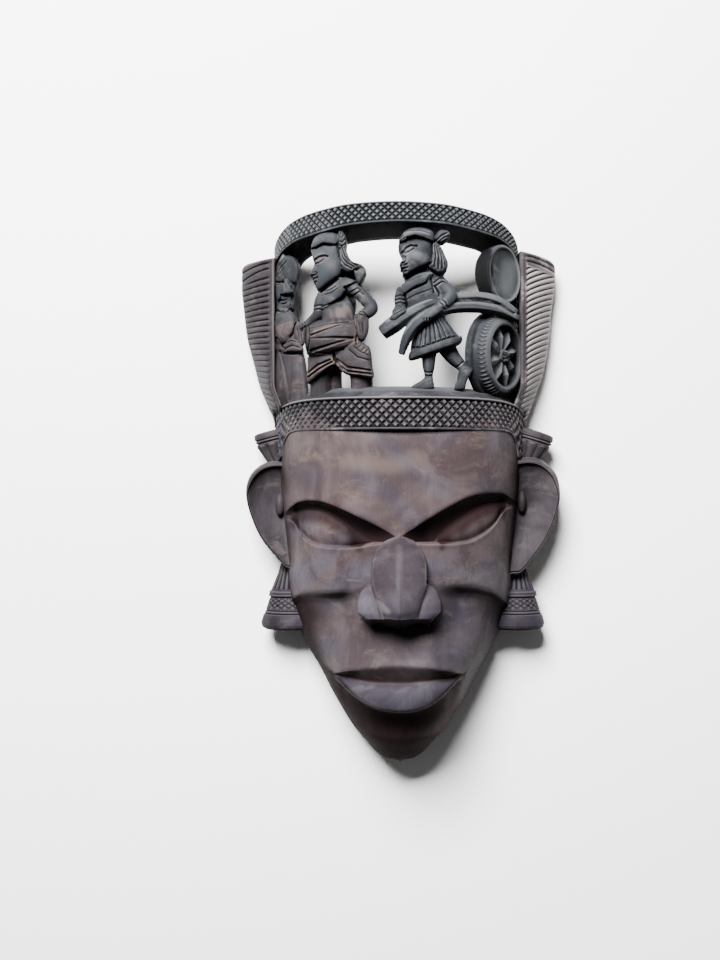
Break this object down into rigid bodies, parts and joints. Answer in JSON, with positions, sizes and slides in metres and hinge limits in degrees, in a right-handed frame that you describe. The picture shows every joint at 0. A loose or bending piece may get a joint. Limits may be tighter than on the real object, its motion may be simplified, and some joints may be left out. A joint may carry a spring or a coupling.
{
  "type": "carved wall mask",
  "caption": "Long carved wooden face with closed eyes under a diamond-cut headband and a pierced crown of small figures, flanked by ears, bell pendants and ribbed plumes, hollow behind.",
  "frame": {"origin": "middle of the mask's outline, on the plane that its back lies on", "axes": "+X is the viewer's right, +Y runs from the chin to the crown, +Z leaves the face towards the viewer"},
  "size_m": [0.2234, 0.382, 0.108],
  "materials": {
    "wood": "dark stained wood, satin on the worn face, matt in the carving"
  },
  "bodies": {
    "root": {"carved_mask": "wood"}
  },
  "joints": []
}
